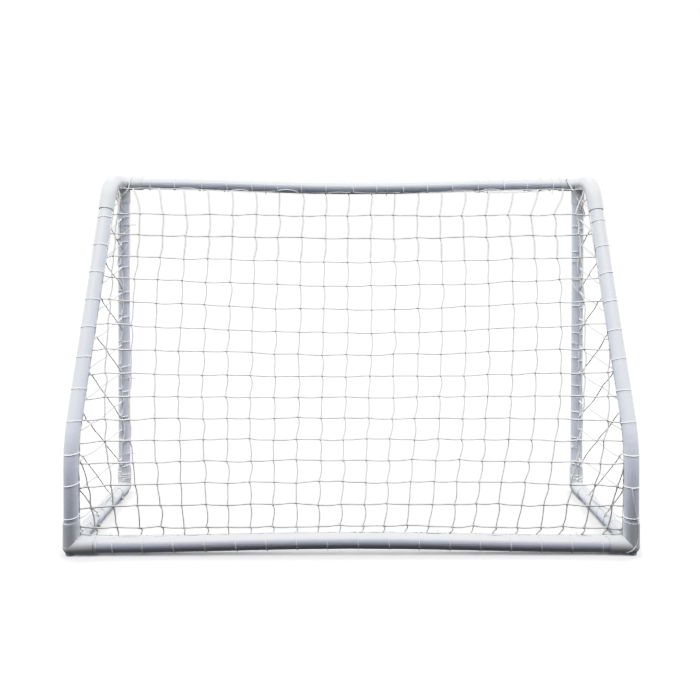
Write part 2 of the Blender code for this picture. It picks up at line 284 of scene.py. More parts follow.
class Shader:
    """A node tree under construction."""

    def __init__(self, tree):
        self.tree = tree

    def node(self, kind, settings=None, values=None, output=0):
        """Adds a node: its settings first, then the values or links of its sockets."""
        made = self.tree.nodes.new(kind)
        for name, value in (settings or {}).items():
            setattr(made, name, value)
        for name, value in (values or {}).items():
            self.feed(made.inputs[name], value)
        return Link(self, made.outputs[output])

    def feed(self, socket, value):
        if isinstance(value, Link):
            self.tree.links.new(value.socket, socket)
        else:
            socket.default_value = value

    def axis(self, vector, name):
        """One axis of a vector."""
        return self.node("ShaderNodeSeparateXYZ", None, {0: vector}, output=name)

    def spread(self, value, low, high, to_low=0.0, to_high=1.0):
        """Moves a value from one range to another, and holds it there."""
        return self.node("ShaderNodeMapRange", {"clamp": True},
                         {"Value": value, "From Min": low, "From Max": high,
                          "To Min": to_low, "To Max": to_high})


class Finish(Shader):
    """A material under construction."""

    def __init__(self, name):
        self.material = bpy.data.materials.new(name)
        self.material.use_nodes = True
        super().__init__(self.material.node_tree)
        self.surface = self.tree.nodes["Principled BSDF"]

    def place(self, scale=(1, 1, 1)):
        """Position on the goal, stretched by a scale for each axis."""
        position = self.node("ShaderNodeTexCoord", output="Object")
        return self.node("ShaderNodeMapping", {"vector_type": "POINT"},
                         {"Vector": position, "Scale": scale})

    def noise(self, vector, scale, detail=3.0, rough=0.5):
        return self.node("ShaderNodeTexNoise", None,
                         {"Vector": vector, "Scale": scale, "Detail": detail, "Roughness": rough})

    def mix(self, share, first, second):
        """A colour between two colours."""
        return self.node("ShaderNodeMix", {"data_type": "RGBA"}, {0: share, 6: first, 7: second},
                         output=2)

    def bump(self, height, distance, strength=1.0):
        return self.node("ShaderNodeBump", None,
                         {"Height": height, "Distance": distance, "Strength": strength})

    def coat(self, **values):
        """Sets the surface shader's own sockets; underscores stand for spaces."""
        for name, value in values.items():
            self.feed(self.surface.inputs[name.replace("_", " ")], value)
        return self.material


def shade(colour, factor):
    return tuple(min(1.0, c * factor) for c in colour[:3]) + (1.0,)


def tube_finish(name, colour, streak_scale):
    """Smooth extruded plastic with faint lines along the tube and dull handling marks."""
    finish = Finish(name)
    streak = finish.noise(finish.place(streak_scale), 1.0, 2.0)
    cloud = finish.noise(finish.place(), 7.0, 4.0)
    scuff = finish.spread(finish.noise(finish.place(), 46.0, 6.0, 0.7), 0.60, 0.74)
    tone = finish.mix(finish.spread(cloud, 0.3, 0.7), shade(colour, 0.965), colour)
    tone = finish.mix(scuff * 0.35, tone, shade(colour, 0.90))
    rough = finish.spread(streak, 0.3, 0.7, 0.24, 0.32) + scuff * 0.22
    normal = finish.bump(streak * 0.6 + cloud * 1.4, 0.00025, 0.35)
    return finish.coat(Base_Color=tone, Roughness=rough, Normal=normal, IOR=1.53,
                       Coat_Weight=0.12, Coat_Roughness=0.16)


def fitting_finish(name, colour):
    """Moulded plastic: satin skin, faint orange peel and a parting line at mid width."""
    finish = Finish(name)
    place = finish.place()
    cloud = finish.noise(place, 11.0, 4.0)
    peel = finish.noise(place, 420.0, 2.0)
    off_seam = (finish.axis(place, "X").math("ABSOLUTE") - HALF).math("ABSOLUTE")
    seam = 1.0 - finish.spread(off_seam, 0.0002, 0.0006)
    tone = finish.mix(finish.spread(cloud, 0.3, 0.7), shade(colour, 0.955), colour)
    tone = finish.mix(seam * 0.25, tone, shade(colour, 0.8))
    rough = finish.spread(cloud, 0.25, 0.75, 0.34, 0.46) + seam * 0.08
    normal = finish.bump(peel * 0.25 + seam * 0.5, 0.0003, 0.5)
    return finish.coat(Base_Color=tone, Roughness=rough, Normal=normal, IOR=1.53)


def laid_cord_finish(name, colour, pitch, strands, fuzz):
    """Twisted cord: strands wind along the cord, with painted shade in the grooves between them.
    """
    finish = Finish(name)
    where = finish.node("ShaderNodeUVMap", output="UV")
    turn = (finish.axis(where, "X") * (2 * math.pi / pitch)
            + finish.axis(where, "Y") * (2 * math.pi * strands))
    strand = turn.math("SINE") * 0.5 + 0.5
    fibre = finish.noise(finish.place(), 900.0, 3.0)
    dirt = finish.noise(finish.place(), 9.0, 4.0)
    # Painted shade: the grooves between strands take a darker copy of the cord colour.
    painted_groove_shade = finish.spread(strand, 0.05, 0.55)
    tone = finish.mix(painted_groove_shade, shade(colour, 0.74), colour)
    tone = finish.mix(finish.spread(dirt, 0.45, 0.8) * 0.5, tone, shade(colour, 0.84))
    tone = finish.mix(finish.spread(fibre, 0.4, 0.7) * fuzz, tone, shade(colour, 0.8))
    normal = finish.bump(strand + fibre * 0.3, 0.0006, 0.6)
    return finish.coat(Base_Color=tone, Roughness=0.72, Normal=normal,
                       Sheen_Weight=0.15, Sheen_Roughness=0.5)


def cord_finish(name, colour):
    """Three-strand lacing cord."""
    return laid_cord_finish(name, colour, 0.011, 3, 0.2)


def twine_finish(name, colour):
    """Two-strand mesh twine, a little hairy."""
    return laid_cord_finish(name, colour, 0.009, 2, 0.35)


def tie_finish(name, colour):
    """Slightly cloudy nylon."""
    finish = Finish(name)
    cloud = finish.noise(finish.place(), 160.0, 3.0)
    tone = finish.mix(finish.spread(cloud, 0.35, 0.65), shade(colour, 0.92), colour)
    rough = finish.spread(cloud, 0.3, 0.7, 0.36, 0.5)
    return finish.coat(Base_Color=tone, Roughness=rough,
                       Normal=finish.bump(cloud, 0.0002, 0.3))


def floor_finish(name, colour):
    """Plain pale matt floor."""
    finish = Finish(name)
    cloud = finish.noise(finish.place(), 1.3, 3.0)
    tone = finish.mix(finish.spread(cloud, 0.3, 0.7), shade(colour, 0.99), colour)
    return finish.coat(Base_Color=tone, Roughness=finish.spread(cloud, 0.2, 0.8, 0.85, 0.95))


# ---------------------------------------------------------------- cord meshes

def side_vectors(path):
    """Two vectors square to a path at each point, carried along without twist."""
    directions = []
    for i in range(len(path)):
        ahead = path[min(i + 1, len(path) - 1)]
        behind = path[max(i - 1, 0)]
        directions.append((ahead - behind).normalized())
    first = directions[0]
    seed = Vector((0, 1, 0)) if abs(first.y) < 0.9 else Vector((1, 0, 0))
    side = (seed - first * seed.dot(first)).normalized()
    frames = []
    for direction in directions:
        side = (side - direction * side.dot(direction)).normalized()
        frames.append((side.copy(), direction.cross(side)))
    return frames


def smooth(points, steps):
    """A curve through points, with a number of steps on each stretch."""
    curve = []
    last = len(points) - 1
    for i in range(last):
        a, b, c, d = points[max(i - 1, 0)], points[i], points[i + 1], points[min(i + 2, last)]
        for k in range(steps):
            t = k / steps
            curve.append(0.5 * (b * 2 + (c - a) * t + (a * 2 - b * 5 + c * 4 - d) * t ** 2
                                + (b * 3 - a - c * 3 + d) * t ** 3))
    curve.append(points[-1].copy())
    return curve


class CordMesh:
    """Collects round cords and knots into one mesh, with UVs that run along each cord."""

    def __init__(self):
        self.points = []
        self.faces = []
        self.uvs = []

    def band(self, rings, lengths, sides):
        start = len(self.points)
        for ring in rings:
            self.points.extend(ring)
        for k in range(len(rings) - 1):
            for i in range(sides):
                j = (i + 1) % sides
                low = start + k * sides
                high = low + sides
                self.faces.append((low + i, low + j, high + j, high + i))
                self.uvs.extend(((lengths[k], i / sides), (lengths[k], (i + 1) / sides),
                                 (lengths[k + 1], (i + 1) / sides), (lengths[k + 1], i / sides)))

    def cap(self, first, sides, flip):
        order = [first + i for i in range(sides)]
        if flip:
            order.reverse()
        self.faces.append(tuple(order))
        self.uvs.extend([(0.0, 0.0)] * sides)

    def cord(self, path, radius, sides=6):
        """A round cord along a path, closed at both ends."""
        rings = []
        lengths = [0.0]
        for a, b in zip(path, path[1:]):
            lengths.append(lengths[-1] + (b - a).length)
        for centre, (side, up) in zip(path, side_vectors(path)):
            ring = []
            for i in range(sides):
                angle = 2 * math.pi * i / sides
                ring.append(centre + (side * math.cos(angle) + up * math.sin(angle)) * radius)
            rings.append(ring)
        first = len(self.points)
        self.band(rings, lengths, sides)
        self.cap(first, sides, True)
        self.cap(len(self.points) - sides, sides, False)

    def hoop(self, centre, normal, reach, radius, turns=9, sides=5):
        """A closed loop of cord, used for the wraps of a knot."""
        normal = normal.normalized()
        seed = Vector((1, 0, 0)) if abs(normal.x) < 0.8 else Vector((0, 0, 1))
        side = normal.cross(seed).normalized()
        up = normal.cross(side)
        rings = []
        lengths = []
        for k in range(turns + 1):
            angle = 2 * math.pi * k / turns
            out = side * math.cos(angle) + up * math.sin(angle)
            ring = []
            for i in range(sides):
                tilt = 2 * math.pi * i / sides
                ring.append(centre + out * (reach + radius * math.cos(tilt))
                            + normal * (radius * math.sin(tilt)))
            rings.append(ring)
            lengths.append(reach * angle)
        self.band(rings, lengths, sides)

    def knot(self, centre, along, across, radius):
        """A mesh knot: two tight wraps that lean against each other round the crossing."""
        for normal in (along + across, along - across):
            self.hoop(centre, normal, radius * 1.15, radius * 0.75)

    def make(self, name, material):
        mesh = bpy.data.meshes.new(name)
        mesh.from_pydata([tuple(p) for p in self.points], [], self.faces)
        layer = mesh.uv_layers.new(name="cord")
        layer.data.foreach_set("uv", [c for uv in self.uvs for c in uv])
        mesh.polygons.foreach_set("use_smooth", [True] * len(mesh.polygons))
        mesh.materials.append(material)
        mesh.update()
        piece = bpy.data.objects.new(name, mesh)
        bpy.context.scene.collection.objects.link(piece)
        return piece


def settle(piece, slot, *nodes):
    """Ties a finished piece to the frame: it rides on the goal and may stand for CAD nodes."""
    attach(piece, "root")
    if nodes:
        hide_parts(*nodes)


# Steps of twine between two knots
RUN_STEPS = 6


def slack_run(start, end, sway, kick, rng):
    """Twine between two knots: it springs off to one side, then comes back with some slack."""
    along = (end - start).normalized()
    side = along.cross(Vector((0, 1, 0.2))).normalized()
    out = along.cross(side)
    lean = rng.uniform(-1, 1) * sway
    wave = rng.uniform(-1, 1) * sway * 0.5
    deep = rng.uniform(-1, 1) * sway
    spring = rng.uniform(0.5, 1.3)
    points = []
    for k in range(RUN_STEPS):
        t = k / RUN_STEPS
        arch = math.sin(math.pi * t)
        early = math.sin(math.pi * t ** 0.7)
        points.append(start.lerp(end, t) + side * (lean * arch + wave * math.sin(2 * math.pi * t))
                      + out * (deep * arch) + kick * (spring * early))
    return points


def string_twine(mesh, knots, radius, sway, kick, rng):
    """One line of twine through its knots."""
    path = []
    for a, b in zip(knots, knots[1:]):
        path.extend(slack_run(a, b, sway, kick, rng))
    path.append(knots[-1])
    mesh.cord(path, radius)


# ---------------------------------------------------------------- settings

def colour_setting(name, description, red, green, blue):
    return FloatVectorProperty(name=name, description=description, subtype="COLOR", size=4,
                               min=0, max=1, default=(red, green, blue, 1.0))


def length_setting(name, description, default, most):
    return FloatProperty(name=name, description=description, default=default, min=0.0, max=most,
                         unit="LENGTH")


def light_setting(name, description, default):
    return FloatProperty(name=name, description=description, default=default, min=0.0, max=20.0)


class GOAL_PG_finish(bpy.types.PropertyGroup):
    """Colours"""

    tube_colour: colour_setting("Tube colour", "Colour of the plastic tubes", 0.600, 0.635, 0.725)
    fitting_colour: colour_setting(
        "Fitting colour", "Colour of the moulded connectors", 0.61, 0.64, 0.675)
    net_colour: colour_setting("Net colour", "Colour of the mesh twine", 0.57, 0.567, 0.56)
    cord_colour: colour_setting("Cord colour", "Colour of the lacing cord", 0.93, 0.93, 0.94)
    border_colour: colour_setting(
        "Border colour", "Colour of the cord round each net panel", 0.70, 0.69, 0.71)
    tie_colour: colour_setting("Tie colour", "Colour of the nylon ties", 0.74, 0.75, 0.74)


class GOAL_PG_net(bpy.types.PropertyGroup):
    """Sizes of the three net panels"""

    twine: length_setting("Twine diameter", "Thickness of the mesh twine", 0.0056, 0.010)
    sway: length_setting("Slack", "How far twine wanders between two knots", 0.0030, 0.02)
    drift: length_setting("Knot drift", "How far a knot sits from an even grid", 0.0030, 0.02)
    border: length_setting(
        "Border cord diameter", "Thickness of the cord round each net panel", 0.0038, 0.008)
    kick: length_setting(
        "Spring", "How far twine springs aside as it leaves a knot", 0.0045, 0.02)
    side_pitch: length_setting(
        "Side mesh", "Spacing of the side net lines up the stanchion", 0.0925, 0.2)


class GOAL_PG_lacing(bpy.types.PropertyGroup):
    """Sizes of the lacing"""

    cord: length_setting("Cord diameter", "Thickness of the lacing cord", 0.0034, 0.006)
    advance: length_setting(
        "Advance of a turn", "How far one turn of lacing moves along the bar", 0.014, 0.05)
    wander: FloatProperty(
        name="Wander", description="How far round the bar a slack run strays",
        default=math.radians(22), min=0.0, max=math.pi, subtype="ANGLE")
    turn_points: IntProperty(
        name="Points in a turn", description="Smoothness of each turn of lacing",
        default=18, min=8, max=48)


class GOAL_PG_studio(bpy.types.PropertyGroup):
    """Light, floor and lens"""

    floor_colour: colour_setting("Floor colour", "Colour of the studio floor", 0.80, 0.80, 0.80)
    key: light_setting("Overhead light", "Strength of the broad soft light above the goal", 5.0)
    floor_key: light_setting("Floor light", "Strength of the overhead light on the floor", 5.2)
    above: light_setting("Light from above", "Brightness of the air over the goal", 0.52)
    below: light_setting("Light from below", "Brightness of the air low round the goal", 0.24)
    wall: light_setting("Bright wall", "Brightness of the wall that the goal mouth faces", 0.9)
    side: light_setting("Side light", "Brightness of the walls at both ends of the crossbar", 0.5)
    backdrop: light_setting("Backdrop", "Brightness of the backdrop as it is seen", 1.38)
    lens: FloatProperty(
        name="Lens", description="Focal length on a 36 mm wide sensor",
        default=30.27, min=10.0, max=200.0, unit="CAMERA")


# ---------------------------------------------------------------- operators

class GOAL_OT_tubes(bpy.types.Operator):
    """Give every plastic tube its extruded finish"""

    bl_idname = "goal.tubes"
    bl_label = "Finish tubes"

    groups = {
        "tube_plastic_across": ((3, 520, 520), ("crossbar", "rear_ground_bar")),
        "tube_plastic_deep": ((520, 3, 520), ("side_ground_bar_left", "side_ground_bar_right")),
        "tube_plastic_upright": ((520, 520, 3), (
            "post_left", "post_right", "stanchion_left", "stanchion_right")),
    }

    def execute(self, context):
        colour = context.scene.goal_finish.tube_colour
        for name, (scale, nodes) in self.groups.items():
            dress_nodes(tube_finish(name, colour, scale), nodes)
        return {"FINISHED"}


class GOAL_OT_fittings(bpy.types.Operator):
    """Give every moulded connector its satin finish"""

    bl_idname = "goal.fittings"
    bl_label = "Finish connectors"

    def execute(self, context):
        material = fitting_finish("fitting_plastic", context.scene.goal_finish.fitting_colour)
        for kind in ("top_corner", "rear_corner", "front_elbow"):
            dress_nodes(material, (kind + "_left", kind + "_right"))
        return {"FINISHED"}


def dress_nodes(material, nodes):
    for name in nodes:
        node = frame["nodes"][name]
        node.data.materials.clear()
        node.data.materials.append(material)


# Heights of the mesh rows near the stanchions and at mid span
ROW_SIDE = (1.091, 1.014, 0.934, 0.857, 0.780, 0.701, 0.624, 0.549,
            0.476, 0.408, 0.342, 0.274, 0.206, 0.140, 0.072)
ROW_MIDDLE = (1.091, 1.002, 0.915, 0.827, 0.743, 0.662, 0.589, 0.518,
              0.453, 0.389, 0.325, 0.264, 0.201, 0.139, 0.079)
ROW_SIDE_X = 0.77
# Upright lines: the middle one, their shift and half spread at the crossbar, and how their
# middle and their half spread change as the mesh falls
MIDDLE_COLUMN = 9
CROSSBAR_COLUMNS = (-0.011, 0.8127)
COLUMN_MIDDLE = (-0.0141, 0.0038, -0.0285)
COLUMN_REACH = (0.7965, -0.0105, -0.1407)
COLUMN_PINCH = 0.032
COLUMN_TOP_Z = 1.09
COLUMN_DROP = 1.01


def row_height(row, x):
    share = (abs(x) / ROW_SIDE_X) ** 1.7
    return ROW_MIDDLE[row] + (ROW_SIDE[row] - ROW_MIDDLE[row]) * share


def column_place(column, z):
    """Place across of an upright line of twine at a height: the mesh narrows as it falls."""
    fall = (COLUMN_TOP_Z - z) / COLUMN_DROP
    share = (column - MIDDLE_COLUMN) / MIDDLE_COLUMN
    centre, reach = (a + b * fall + c * fall * fall for a, b, c in (COLUMN_MIDDLE, COLUMN_REACH))
    return centre + reach * share - COLUMN_PINCH * (1 - fall * fall) * share ** 3


class GOAL_OT_back_net(bpy.types.Operator):
    """String the back net between the stanchions, the crossbar and the rear bar"""

    bl_idname = "goal.back_net"
    bl_label = "String back net"

    def execute(self, context):
        net = context.scene.goal_net
        rng = random.Random(7)
        mesh = CordMesh()
        knots = self.grid(net, rng)
        rows = len(ROW_SIDE)
        radius = net.twine / 2
        for row in range(rows):
            keys = sorted(key for key in knots if key[0] == row)
            line = [knots[key] for key in keys]
            start = at_height(EDGES[-1], line[0].z + rng.uniform(-1, 1) * 0.006)
            end = at_height(EDGES[1], line[-1].z + rng.uniform(-1, 1) * 0.006)
            kick = Vector((0, 0, -net.kick * 0.35))
            string_twine(mesh, [start] + line + [end], radius, net.sway * 0.5, kick, rng)
        for column in sorted({key[1] for key in knots}):
            line = [knots[(row, column)] for row in range(rows) if (row, column) in knots]
            line.insert(0, self.tie_off(column, line[0]))
            x = column_place(column, 0.03)
            line.append(net_point(max(-1.0, min(1.0, x / NET_HALF)), 1.0))
            kick = Vector((net.kick, 0, 0))
            string_twine(mesh, line, radius, net.sway, kick, rng)
        for point in knots.values():
            mesh.knot(point, Vector((1, 0, 0)), Vector((0, 0.3, 0.95)), radius)
        colours = context.scene.goal_finish
        material = twine_finish("net_twine", colours.net_colour)
        settle(mesh.make("back_net_twine", material), "net", "back_net")
        edging = CordMesh()
        self.border(edging, net.border / 2)
        material = cord_finish("net_border", colours.border_colour)
        settle(edging.make("back_net_border", material), "net", "back_net")
        return {"FINISHED"}

    def grid(self, net, rng):
        """Knots by row and column; lines that reach a stanchion stop there."""
        knots = {}
        for row in range(len(ROW_SIDE)):
            for column in range(-3, 23):
                x = column_place(column, ROW_SIDE[row])
                z = row_height(row, x)
                x = column_place(column, z)
                drift = Vector((rng.uniform(-1, 1), 0, rng.uniform(-1, 1))) * net.drift
                if abs(x) > NET_HALF - 0.012:
                    continue
                knots[(row, column)] = net_at(x + drift.x, z + drift.z)
        return knots

    def tie_off(self, column, top):
        """Where an upright line ends above its first knot: the crossbar or a stanchion."""
        x = CROSSBAR_COLUMNS[0] + CROSSBAR_COLUMNS[1] * (column / MIDDLE_COLUMN - 1)
        if top.z > ROW_SIDE[0] - 0.03 and abs(x) < NET_HALF:
            return net_point(x / NET_HALF, 0.0)
        edge = EDGES[-1 if top.x < 0 else 1]
        lean = max(0.05, abs(column_place(column, top.z + 0.05) - top.x) / 0.05)
        rise = min(0.09, (NET_HALF - abs(top.x)) / lean)
        return at_height(edge, top.z + rise)

    def border(self, mesh, radius):
        across = [-1 + i / 36 for i in range(73)]
        mesh.cord([net_point(u, 0.0) for u in across], radius)
        mesh.cord([net_point(u, 1.0) for u in across], radius)
        for edge in EDGES.values():
            mesh.cord(smooth(edge, 3), radius)


# Lowest level and slanting lines of a side net, as heights at the stanchion; the slanting
# ones stand further apart than the level ones
STEEP_SPACING = 1.3
FLAT_START = 0.0125
STEEP_START = 0.075


def flat_slope(z):
    """Rise towards the post of a level line that leaves the stanchion at a height."""
    return -0.10 + 0.5 * (max(0.1, z) - 0.25)


def steep_slope(z):
    """Fall towards the post of a slanting line that leaves the stanchion at a height."""
    return -1.1 + 0.6 * min(z, 1.05)


class GOAL_OT_side_nets(bpy.types.Operator):
    """String the two side nets between post, stanchion and ground bar"""

    bl_idname = "goal.side_nets"
    bl_label = "String side nets"

    def execute(self, context):
        net = context.scene.goal_net
        colours = context.scene.goal_finish
        # Painted light: the side net twine takes a lighter copy of the net colour, to brighten
        # lines that sit in shade.
        twine = twine_finish("side_net_twine", shade(colours.net_colour, 1.45))
        cord = cord_finish("side_border", colours.border_colour)
        for name, side in (("left", -1), ("right", 1)):
            mesh = CordMesh()
            self.string(mesh, side, net, random.Random(30 + side))
            settle(mesh.make("side_net_twine_" + name, twine), "net", "side_net_" + name)
            edging = CordMesh()
            self.border(edging, side, net.border / 2)
            settle(edging.make("side_net_border_" + name, cord), "net", "side_net_" + name)
        return {"FINISHED"}

    def spot(self, side, y, z):
        """Place on the side net: it leans from the stanchion's inner side out to the post."""
        rear = at_height(EDGES[side], z)
        share = max(0.0, min(1.0, (y - rear.y) / max(0.02, SIDE_FRONT - rear.y)))
        return Vector((rear.x + (side * HALF - rear.x) * share, y, z))

    def starts(self, first, last, pitch, slope):
        """Where each line leaves the stanchion, and its slope."""
        count = math.ceil((last - first) / pitch)
        return [(first + pitch * i, slope(first + pitch * i)) for i in range(count)]

    def string(self, mesh, side, net, rng):
        """Both families of lines, knotted wherever two of them cross."""
        edge = EDGES[side]
        radius = net.twine / 2
        flat = self.starts(FLAT_START, SIDE_CEILING, net.side_pitch, flat_slope)
        steep = self.starts(STEEP_START, SIDE_CEILING + 0.2, net.side_pitch * STEEP_SPACING,
                            steep_slope)
        knots = {}
        for j, (za, sa) in enumerate(flat):
            for k, (zb, sb) in enumerate(steep):
                ya = at_height(edge, za).y
                yb = at_height(edge, zb).y
                if zb <= za:
                    continue
                y = (zb - sb * yb - za + sa * ya) / (sa - sb)
                z = za + sa * (y - ya)
                rear = at_height(edge, z).y
                if (rear + 0.010 < y < SIDE_FRONT - 0.008
                        and SIDE_BOTTOM + 0.008 < z < SIDE_CEILING - 0.004):
                    drift = Vector((0, rng.uniform(-1, 1), rng.uniform(-1, 1))) * net.drift * 1.4
                    knots[(j, k)] = self.spot(side, y + drift.y, z + drift.z)
        self.family(mesh, side, flat, knots, 0, net, rng)
        self.family(mesh, side, steep, knots, 1, net, rng)
        for point in knots.values():
            mesh.knot(point, Vector((0, 1, 0)), Vector((0, 0, 1)), radius)

    def border(self, mesh, side, radius):
        """Border cord up the post and along the ground bar."""
        near = EDGES[side][0].y
        tall = SIDE_CEILING - SIDE_BOTTOM
        mesh.cord([Vector((side * HALF, SIDE_FRONT, SIDE_BOTTOM + tall * i / 20))
                   for i in range(21)], radius)
        mesh.cord([self.spot(side, near + (SIDE_FRONT - near) * i / 12, SIDE_BOTTOM)
                   for i in range(13)], radius)

    def family(self, mesh, side, lines, knots, which, net, rng):
        """Lines of one direction, from the stanchion's border to the post's or ground bar's."""
        for index, (z, slope) in enumerate(lines):
            line = sorted((p for key, p in knots.items() if key[which] == index),
                          key=lambda p: p.y)
            on_edge = EDGE_LOW < z < EDGE_HIGH
            if not line and not on_edge:
                continue
            last = line[-1] if line else at_height(EDGES[side], z)
            if on_edge:
                line.insert(0, at_height(EDGES[side], z))
            end_y = SIDE_FRONT
            if slope < 0:
                end_y = min(SIDE_FRONT, last.y + (SIDE_BOTTOM - last.z) / slope)
            end_z = min(SIDE_CEILING, max(SIDE_BOTTOM, last.z + slope * (end_y - last.y)))
            line.append(self.spot(side, end_y, end_z))
            kick = Vector((0, 0, -net.kick * 0.5))
            string_twine(mesh, line, net.twine / 2, net.sway * 1.3, kick, rng)


# How far the middle of a lacing turn stands off the bar, in cord radii, and how far more
# the cord stands off where it holds the net
PROUD_BAR = 0.45
PROUD_STANCHION = 0.15
NET_STANDOFF = 0.0036


class GOAL_OT_lacing(bpy.types.Operator):
    """Lace the nets on to every bar"""

    bl_idname = "goal.lacing"
    bl_label = "Lace the bars"

    def execute(self, context):
        lacing = context.scene.goal_lacing
        material = cord_finish("lacing_cord", context.scene.goal_finish.cord_colour)
        self.bar("crossbar", crossbar_axis, 0, 17, Vector((0, -0.7, -1)), lacing, material)
        self.bar("rear_bar", rear_bar_axis, 0, 17, Vector((0, 0.5, 0.866)), lacing, material)
        for name, side, turns in (("left", -1, 11), ("right", 1, 10)):
            def post(z, x=side * HALF):
                return Vector((x, MOUTH, z))

            def ground(y, x=side * HALF):
                return Vector((x, y, GROUND))

            self.bar("post_" + name, post, 2, turns, Vector((0, -1, 0)), lacing, material)
            self.bar("side_bar_" + name, ground, 1, 3, Vector((0, 0, 1)), lacing, material)
            self.stanchion(name, side, lacing, material)
        return {"FINISHED"}

    def bar(self, name, axis, direction, count, net_side, lacing, material):
        low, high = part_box("lace_" + name)
        first = low[direction] + 0.001
        last = high[direction] - 0.001 - lacing.advance
        places = [first + (last - first) * k / (count - 1) for k in range(count)]
        self.lace(name, axis, places, net_side, lacing, material)

    def stanchion(self, name, side, lacing, material):
        route = stanchion_axis(side * HALF)
        low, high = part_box("lace_stanchion_" + name)
        first = climb(route, low[2] + 0.002)
        last = climb(route, high[2] - 0.010) - lacing.advance
        places = [first + (last - first) * k / 10 for k in range(11)]
        self.lace("stanchion_" + name, lambda at: walk(route, at), places,
                  Vector((-side, 1, 0)), lacing, material, PROUD_STANCHION)

    def lace(self, name, axis, places, net_side, lacing, material, proud=PROUD_BAR):
        """One cord: a turn round the bar at each place, then a run on to the next."""
        radius = lacing.cord / 2
        rng = random.Random(name)
        points = []
        skin = TUBE_R + radius * proud
        for k, place in enumerate(places):
            tilt = rng.uniform(0.4, 1.2)
            shift = rng.uniform(-0.25, 0.25)
            for i in range(lacing.turn_points + 1):
                share = i / lacing.turn_points
                at = place + lacing.advance * share * tilt
                angle = 2 * math.pi * share + shift
                reach = skin + NET_STANDOFF * max(0.0, math.cos(2 * math.pi * share)) ** 6
                points.append(round_bar(axis, at, net_side, angle, reach))
            if k + 1 == len(places):
                break
            start = place + lacing.advance * tilt
            gap = places[k + 1] - start
            swing = rng.uniform(-1, 1) * lacing.wander
            for i in range(1, 7):
                t = i / 7
                angle = shift * (1 - t) + swing * math.sin(math.pi * t)
                reach = skin + NET_STANDOFF * (1 - math.sin(math.pi * t) * 0.8)
                points.append(round_bar(axis, start + gap * t, net_side, angle, reach))
        mesh = CordMesh()
        mesh.cord(smooth(points, 2), radius, 8)
        settle(mesh.make("lacing_" + name, material), "cord", "lace_" + name)


def round_bar(axis, at, zero_side, angle, reach):
    """A point beside a bar: at a distance along it, and an angle round it from one side."""
    along = (axis(at + 0.002) - axis(at - 0.002)).normalized()
    out = (zero_side - along * zero_side.dot(along)).normalized()
    across = along.cross(out)
    return axis(at) + (out * math.cos(angle) + across * math.sin(angle)) * reach


def round_upright(x, y, degrees, reach, z):
    """A point beside an upright tube: at an angle round it from its rear side."""
    angle = math.radians(degrees)
    return Vector((x + reach * math.sin(angle), y - reach * math.cos(angle), z))


class GOAL_OT_ties(bpy.types.Operator):
    """Fit the nylon ties"""

    bl_idname = "goal.ties"
    bl_label = "Fit ties"

    def execute(self, context):
        material = tie_finish("tie_nylon", context.scene.goal_finish.tie_colour)
        for name in sorted(frame["nodes"]):
            if name.startswith("tie_"):
                dress_nodes(material, (name,))
        return {"FINISHED"}


class GOAL_OT_corner_cords(bpy.types.Operator):
    """Tie off the loose cord ends at the top corners"""

    bl_idname = "goal.corner_cords"
    bl_label = "Tie off corner cords"

    def execute(self, context):
        lacing = context.scene.goal_lacing
        material = cord_finish("corner_cord", context.scene.goal_finish.cord_colour)
        for name, route in (("left", self.left()), ("right", self.right())):
            mesh = CordMesh()
            path = smooth(route, 5)
            mesh.cord(path, lacing.cord * 0.8, 8)
            mesh.knot(path[0], Vector((1, 0, 0)), Vector((0, 0.3, 0.95)), lacing.cord * 0.9)
            settle(mesh.make("tied_cord_" + name, material), "cord", "corner_cord_" + name)
        return {"FINISHED"}

    def left(self):
        """Over the crossbar's socket, down its rear face and under the swept arm."""
        reach = TUBE_R + SOCKET_WALL + 0.0026
        front = MOUTH - reach
        x = -HALF
        return [
            Vector((x + reach + 0.008, MOUTH + 0.012, TOP + reach * 0.86)),
            Vector((x + reach + 0.007, MOUTH - reach * 0.45, TOP + reach * 0.90)),
            Vector((x + reach + 0.006, MOUTH - reach * 0.93, TOP + reach * 0.42)),
            Vector((x + reach + 0.004, front - 0.001, TOP - reach * 0.35)),
            Vector((x + reach - 0.003, front - 0.004, TOP - reach * 1.05)),
            Vector((x + reach * 0.55, front - 0.007, TOP - reach * 1.50)),
            Vector((x, front - 0.009, TOP - reach * 1.66)),
            Vector((x - reach * 0.50, front - 0.011, TOP - reach * 1.52)),
            Vector((x - reach * 0.92, front - 0.012, TOP - reach * 1.15)),
        ]

    def right(self):
        """From the crossbar's socket down across the post to its outer side."""
        reach = TUBE_R + SOCKET_WALL + 0.0026
        front = MOUTH - reach
        points = [
            Vector((HALF - reach * 1.90, MOUTH - reach * 0.80, TOP + reach * 0.65)),
            Vector((HALF - reach * 1.75, front, TOP + reach * 0.15)),
            Vector((HALF - reach * 1.42, front - 0.002, TOP - reach * 0.45)),
            Vector((HALF - reach * 1.03, front - 0.002, TOP - reach * 1.05)),
        ]
        for turn, drop in ((-42, 1.65), (-22, 2.2), (-2, 2.75), (18, 3.3), (36, 3.9), (48, 4.6)):
            points.append(round_upright(HALF, MOUTH, turn, reach, TOP - reach * drop))
        return points


